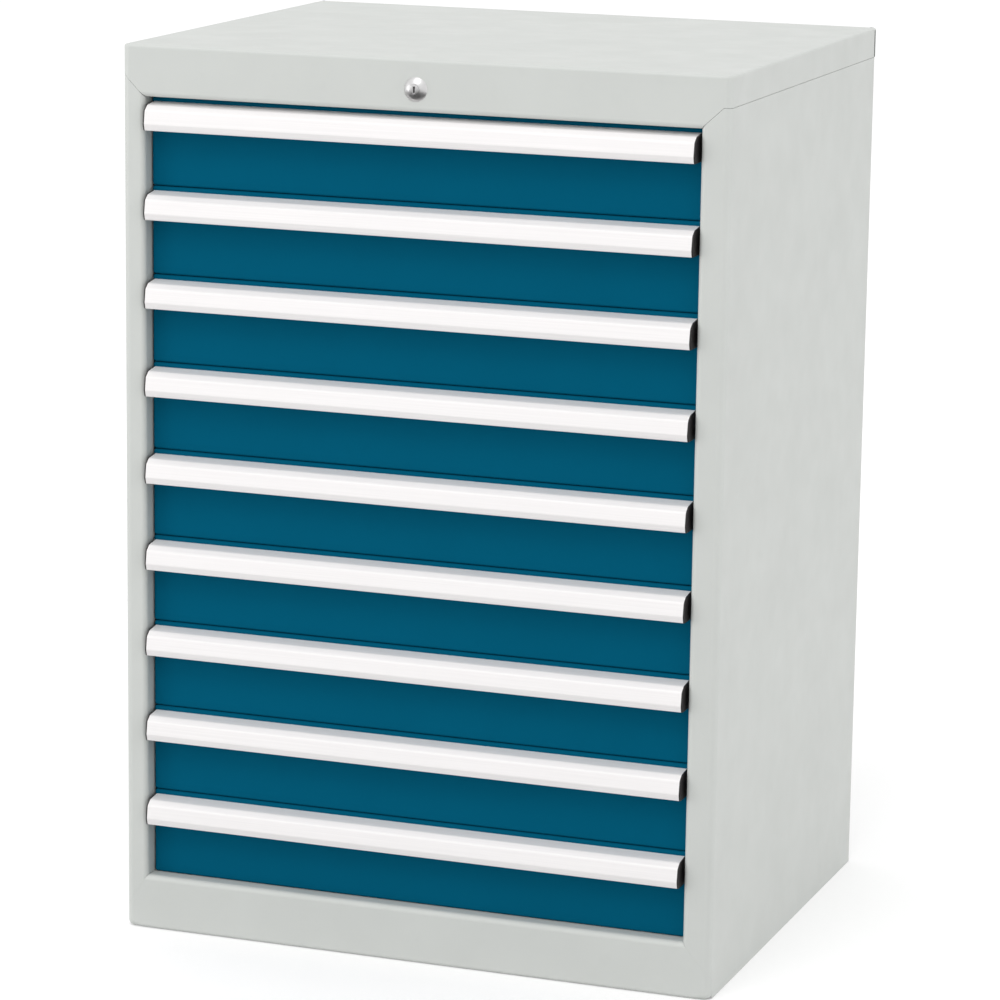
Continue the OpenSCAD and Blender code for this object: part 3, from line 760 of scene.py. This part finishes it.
def front_shells(k):
    """The pan's section, from the face round the flange to the lip and back inside, round its outline."""
    low = drawer_z(k) + (FRONT_LOW if k < DRAWERS else -FRONT_LOW)
    high = drawer_z(k) + PITCH - FRONT_HIGH
    slot_low = drawer_z(k) + TONGUE_LIFT - SLOT_FIT
    slot_high = drawer_z(k) + TONGUE_LIFT + TONGUE_H + SLOT_FIT
    slot_front = TONGUE_Y - SLOT_FIT - FRONT_Y0
    slot_back = TONGUE_Y + TONGUE_T + SLOT_FIT - FRONT_Y0
    wall = TRAY_SHEET
    back = FRONT_DEPTH - wall
    flange_outside = [(0, y) for y in (0, slot_front, slot_back, FRONT_DEPTH)]
    flange_inside = [(wall, y) for y in (back, slot_back, slot_front, wall)]
    outer = [(FRONT_RIM, 0), *flange_outside, (FRONT_LIP, FRONT_DEPTH)]
    inner = [(FRONT_LIP, back), *flange_inside, (FRONT_RIM, wall)]
    radii = [0, FRONT_R, 0, 0, BACK_R, LIP_EDGE, LIP_EDGE, BACK_R - wall, 0, 0, FRONT_R - wall, 0]
    profile, _, turns = rounded_path(outer + inner, radii, steps=6)
    right = [(FRONT_W, z) for z in (low, slot_low, slot_high, high)]
    section, marks = inset_outlines([(-FRONT_W, low), *right, (-FRONT_W, high)], FRONT_R, profile[:, 0])
    path = section[0] + (FRONT_RIM, 0)
    grid = in_drawer(section[..., 0], FRONT_Y0 + profile[:, 1:], section[..., 1])
    column = int(np.argmin(np.abs(path[:, 1] - slot_low) + np.abs(path[:, 0] - FRONT_W)))
    run_in, run_back = np.diff(profile, axis=0).T
    in_slot = np.isclose(np.abs(run_back), slot_back - slot_front) & (run_in == 0)
    rows = [row for row in np.flatnonzero(in_slot) if profile[row, 1] in (slot_front, slot_back)]
    pan = tube(grid, np.maximum(turns[:, None], marks[None]), drop=[(row, column) for row in rows])
    depth = FRONT_Y0 + np.array([slot_front, slot_back, slot_back, slot_front])
    level = np.array([slot_low, slot_low, slot_high, slot_high])
    walls = tube(np.stack([in_drawer(x, depth, level) for x in (FRONT_W, FRONT_W - wall)]), capped=False,
                 toward=(0, 0, 1))
    return [pan, walls]


blue_coat = powder_coat("front_powder_coat", FRONT_BLUE, specular=0.012, rub=0.2)
for k in range(1, DRAWERS + 1):
    body = f"drawer_{k}"
    make_piece(f"{body}_front_pan", front_shells(k), blue_coat, "front_blue", body, f"{body}_front")

# Grips
# Extruded aluminium, satin anodised: an upper face and a round shoulder, a leaning front, a bevel
# and a lip for the fingers, with a flange that is screwed to the drawer front from inside.
GRIP_ALUMINIUM = (0.87, 0.85, 0.848)
GRIP_INSET = 1.5
CAP_T = 1.5
GRIP_W = FRONT_W - GRIP_INSET - CAP_T
GRIP_TOP = 6.0
GRIP_H = 30.5
GRIP_PROUD = 10.0
GRIP_SLOPE = 2.5
GRIP_LEAN = 2.5
SHOULDER_D = 7.0
SHOULDER_H = 5.5
GRIP_BEVEL = 7.5
GRIP_TUCK = 2.0
GRIP_LIP = 6.0
GRIP_WALL = 2.0
GRIP_EDGE = 0.2
GRIP_FLANGE = 22.0
BACK_EDGE = 0.6
BROW_Y = GRIP_LEAN - GRIP_PROUD
SHOULDER = (BROW_Y + SHOULDER_D, -GRIP_SLOPE)
BROW = (BROW_Y, -GRIP_SLOPE - SHOULDER_H)
CREASE = (-GRIP_PROUD, GRIP_BEVEL - GRIP_H)
LIP = (GRIP_TUCK - GRIP_PROUD, -GRIP_H)
GRIP_LINE = [SHOULDER, BROW, CREASE, LIP]
# Radii at the shoulder, the brow, the crease and the lip
GRIP_RADII = [6.0, 4.0, 4.0, 2.0]


def drawn_aluminium(name):
    """Satin anodised extrusion: fine lines along its length, and faint clouding."""
    material, tree, shader, place = start_material(name, roughness=0.42, metallic=0.1, specular=0.3)
    lines = patches(tree, grain(tree, place, cells=1.0, detail=3.0, stretch=(6.0, 900.0, 900.0)))
    cloud = patches(tree, grain(tree, place, cells=14.0, detail=3.0))
    tone = mixed(tree, lines, shade(GRIP_ALUMINIUM, 0.965), shade(GRIP_ALUMINIUM, 1.02))
    faint = spread(tree, cloud, start=0.0, end=1.0, low=0.0, high=0.4)
    tone = mixed(tree, faint, tone, shade(GRIP_ALUMINIUM, 0.97))
    tree.links.new(tone, shader.inputs["Base Color"])
    dull = spread(tree, lines, start=0.0, end=1.0, low=0.36, high=0.5)
    tree.links.new(dull, shader.inputs["Roughness"])
    relief(tree, shader, [(lines, 0.000012)])
    return material


def grip_shell(k):
    """The extrusion's folded section carried along the width of the drawer."""
    top = drawer_z(k) + PITCH - GRIP_TOP
    lip_end = (GRIP_TUCK + GRIP_LIP - GRIP_PROUD, -GRIP_H)
    line = [(FRONT_Y0, -GRIP_FLANGE), (FRONT_Y0, 0.0), *GRIP_LINE, lip_end]
    corners = [(y, z + top) for y, z in line]
    return folded_sheet(corners, [0, BACK_EDGE, *GRIP_RADII, 0], -GRIP_W, GRIP_W, GRIP_WALL,
                        lambda y, z, x: in_drawer(x, y, z), GRIP_EDGE, GRIP_EDGE)


aluminium = drawn_aluminium("satin_aluminium")
for k in range(1, DRAWERS + 1):
    body = f"drawer_{k}"
    make_piece(f"{body}_grip_bar", [grip_shell(k)], aluminium, "grip_aluminium", body, f"{body}_grip")

# Grip end caps
# Black moulded plastic plates that close both ends of a grip. Each has the grip's outline with
# a softened outer edge, and is held by a plug inside the extrusion.
CAP_BLACK = (0.017, 0.0148, 0.0152)
CAP_EDGE = 0.4
CAP_RIM = 0.6
CAP_STEPS = 5
PLUG_L = 8.0
PLUG_H = 17.0
PLUG_PLAY = 0.3
PLUG_TOP_PLAY = 0.6
SHOULDER_PLAY = 0.5
PLUG_EDGE = 0.5
PLUG_ROUND = 1.0


def moulded_plastic(name):
    """Matt black plastic with the fine grain of its mould."""
    material, tree, shader, place = start_material(name, roughness=0.5, metallic=0.0, specular=0.4)
    cloud = patches(tree, grain(tree, place, cells=120.0, detail=3.0))
    tree.links.new(mixed(tree, cloud, CAP_BLACK, shade(CAP_BLACK, 1.35)), shader.inputs["Base Color"])
    dull = spread(tree, cloud, start=0.0, end=1.0, low=0.44, high=0.58)
    tree.links.new(dull, shader.inputs["Roughness"])
    relief(tree, shader, [(grain(tree, place, cells=2600.0, detail=2.0), 0.00002)])
    return material


def cap_plate(top):
    """The grip's outline as a plate whose outer edge turns over on a small round."""
    outline = [(FRONT_Y0, -GRIP_H), (FRONT_Y0, 0.0), *GRIP_LINE]
    path, lefts, _ = rounded_path(outline, [0, 0, *GRIP_RADII], closed=True)
    turn = np.linspace(0, math.pi / 2, CAP_STEPS)
    inset = np.concatenate([[0.0], CAP_EDGE * (1 - np.cos(turn)), [CAP_EDGE + CAP_RIM]])
    along = GRIP_W + CAP_T - CAP_EDGE * np.concatenate([[CAP_T / CAP_EDGE], 1 - np.sin(turn), [0.0]])
    section = path[None] + lefts[None] * inset[:, None, None]
    return tube(in_drawer(along[:, None], section[..., 0], section[..., 1] + top))


def cap_plug(top):
    """The block behind the plate that fits inside the extrusion, down to the grip's front."""
    wall = GRIP_WALL + PLUG_PLAY
    back = FRONT_Y0 - wall
    foot_y = np.interp(-PLUG_H, (CREASE[1], BROW[1]), (CREASE[0], BROW[0])) + wall
    under_shoulder = (SHOULDER[0], SHOULDER[1] - wall - SHOULDER_PLAY)
    behind_brow = (BROW[0] + wall, BROW[1] - wall)
    corners = [(back, -PLUG_H), (back, -wall - PLUG_TOP_PLAY), under_shoulder, behind_brow, (foot_y, -PLUG_H)]
    radii = [PLUG_EDGE, PLUG_EDGE, PLUG_ROUND, PLUG_ROUND, PLUG_EDGE]
    line, _, _ = rounded_path(corners, radii, closed=True)
    ends = np.array([[GRIP_W], [GRIP_W - PLUG_L]])
    return tube(in_drawer(ends, line[None, :, 0], line[None, :, 1] + top))


plastic = moulded_plastic("moulded_plastic")
for k in range(1, DRAWERS + 1):
    body = f"drawer_{k}"
    grip_z = drawer_z(k) + PITCH - GRIP_TOP
    right_cap = [cap_plate(grip_z), cap_plug(grip_z)]
    both = right_cap + [across_drawer(shell) for shell in right_cap]
    make_piece(f"{body}_cap_pair", both, plastic, "cap_black", body, f"{body}_grip_caps")

# Floor and light
# A white studio floor that keeps the cabinet's shadow, an even white surround, three soft lamps
# (high in front, low on the left, and low on the right), and a dark mat that shows only
# in the cabinet's gloss.
FLOOR_PALE = (0.72, 0.72, 0.72)
FLOOR_GLOW = 0.3
FLOOR_REACH = 14.0
FLOOR_Z = -0.0002
MAT_DARK = (0.06, 0.06, 0.06)
MAT_X = (-4.0, 2.0)
MAT_Y = (-7.0, -0.32)
MAT_Z = 0.001
MATT = 0.9
WHITE = (1.0, 1.0, 1.0, 1.0)


def stage_sheet(name, x_ends, y_ends, height, colour):
    """A flat sheet on the floor, and the shader of its matt material."""
    (x0, x1), (y0, y1) = x_ends, y_ends
    corners = [(x0, y0, height), (x1, y0, height), (x1, y1, height), (x0, y1, height)]
    mesh = bpy.data.meshes.new(name)
    mesh.from_pydata(corners, [], [(0, 1, 2, 3)])
    material = bpy.data.materials.new(name)
    material.use_nodes = True
    shader = material.node_tree.nodes["Principled BSDF"]
    shader.inputs["Base Color"].default_value = (*colour, 1.0)
    shader.inputs["Roughness"].default_value = MATT
    shader.inputs["Specular IOR Level"].default_value = 0.0
    mesh.materials.append(material)
    sheet = bpy.data.objects.new(name, mesh)
    bpy.context.scene.collection.objects.link(sheet)
    return sheet, material.node_tree, shader


def studio_floor():
    """To the camera, and in gloss, the floor adds its own white to the light on it."""
    ends = (-FLOOR_REACH, FLOOR_REACH)
    _, tree, shader = stage_sheet("studio_floor", ends, ends, FLOOR_Z, FLOOR_PALE)
    shader.inputs["Emission Color"].default_value = WHITE
    paths = tree.nodes.new("ShaderNodeLightPath")
    seen = tree.nodes.new("ShaderNodeMath")
    seen.operation = "MAXIMUM"
    tree.links.new(paths.outputs["Is Camera Ray"], seen.inputs[0])
    tree.links.new(paths.outputs["Is Glossy Ray"], seen.inputs[1])
    glow = spread(tree, seen.outputs["Value"], start=0.0, end=1.0, low=0.0, high=FLOOR_GLOW)
    tree.links.new(glow, shader.inputs["Emission Strength"])


def dark_mat():
    """The mat takes no part in the light on the cabinet and isn't seen by the camera."""
    mat, _, _ = stage_sheet("dark_mat", MAT_X, MAT_Y, MAT_Z, MAT_DARK)
    mat.visible_camera = False
    mat.visible_diffuse = False
    mat.visible_shadow = False


def studio_surround():
    """White from every side, as in a tent."""
    world = bpy.data.worlds.new("studio_surround")
    world.use_nodes = True
    background = world.node_tree.nodes["Background"]
    background.inputs["Color"].default_value = WHITE
    background.inputs["Strength"].default_value = 1.0
    bpy.context.scene.world = world


def soft_lamp(name, place, aim, size, watts):
    """A square area lamp at a place, turned to its aim."""
    lamp = bpy.data.lights.new(name, "AREA")
    lamp.size = size
    lamp.energy = watts
    lamp_object = bpy.data.objects.new(name, lamp)
    lamp_object.location = place
    away = np.asarray(place, float) - np.asarray(aim, float)
    away /= np.linalg.norm(away)
    across = np.cross((0.0, 0.0, 1.0), away)
    across /= np.linalg.norm(across)
    turn = np.stack([across, np.cross(away, across), away], 1)
    lamp_object.rotation_euler = Matrix(turn.tolist()).to_euler()
    bpy.context.scene.collection.objects.link(lamp_object)


studio_floor()
dark_mat()
studio_surround()
soft_lamp("high_lamp", place=(-0.6, -9.0, 14.0), aim=(0.0, -0.2, 0.55), size=8.0, watts=560.0)
soft_lamp("left_lamp", place=(-4.6, -3.2, 0.9), aim=(0.0, -0.2, 0.4), size=1.6, watts=38.0)
soft_lamp("side_lamp", place=(4.4, 0.3, 0.6), aim=(0.0, 0.0, 0.3), size=1.2, watts=14.0)
bpy.context.scene.view_settings.view_transform = "Standard"

# Camera
# A long lens in front and to the right, a little above the cabinet, rolled by less than a degree.
# Its place is in millimetres from the stiles' face, its angles in degrees.
CAMERA_PLACE = (1638.6, -4209.3, 1507.4)
CAMERA_TURN = 20.084
CAMERA_TILT = 12.152
CAMERA_ROLL = 0.788
LENS = 150.99
SENSOR_W = 36.0
SIGHT = 50.0


def photo_camera():
    """Axes of the camera from its turn, tilt and roll."""
    turn, tilt, roll = (math.radians(a) for a in (CAMERA_TURN, CAMERA_TILT, CAMERA_ROLL))
    back = np.array([math.sin(turn) * math.cos(tilt), -math.cos(turn) * math.cos(tilt), math.sin(tilt)])
    level = np.array([math.cos(turn), math.sin(turn), 0.0])
    rise = np.cross(back, level)
    right = level * math.cos(roll) + rise * math.sin(roll)
    up = rise * math.cos(roll) - level * math.sin(roll)
    camera = bpy.data.cameras.new("photo_camera")
    camera.lens = LENS
    camera.sensor_width = SENSOR_W
    camera.clip_end = SIGHT
    camera_object = bpy.data.objects.new("photo_camera", camera)
    camera_object.location = in_plan(*CAMERA_PLACE)
    camera_object.rotation_euler = Matrix(np.stack([right, up, back], 1).tolist()).to_euler()
    bpy.context.scene.collection.objects.link(camera_object)
    bpy.context.scene.camera = camera_object


photo_camera()
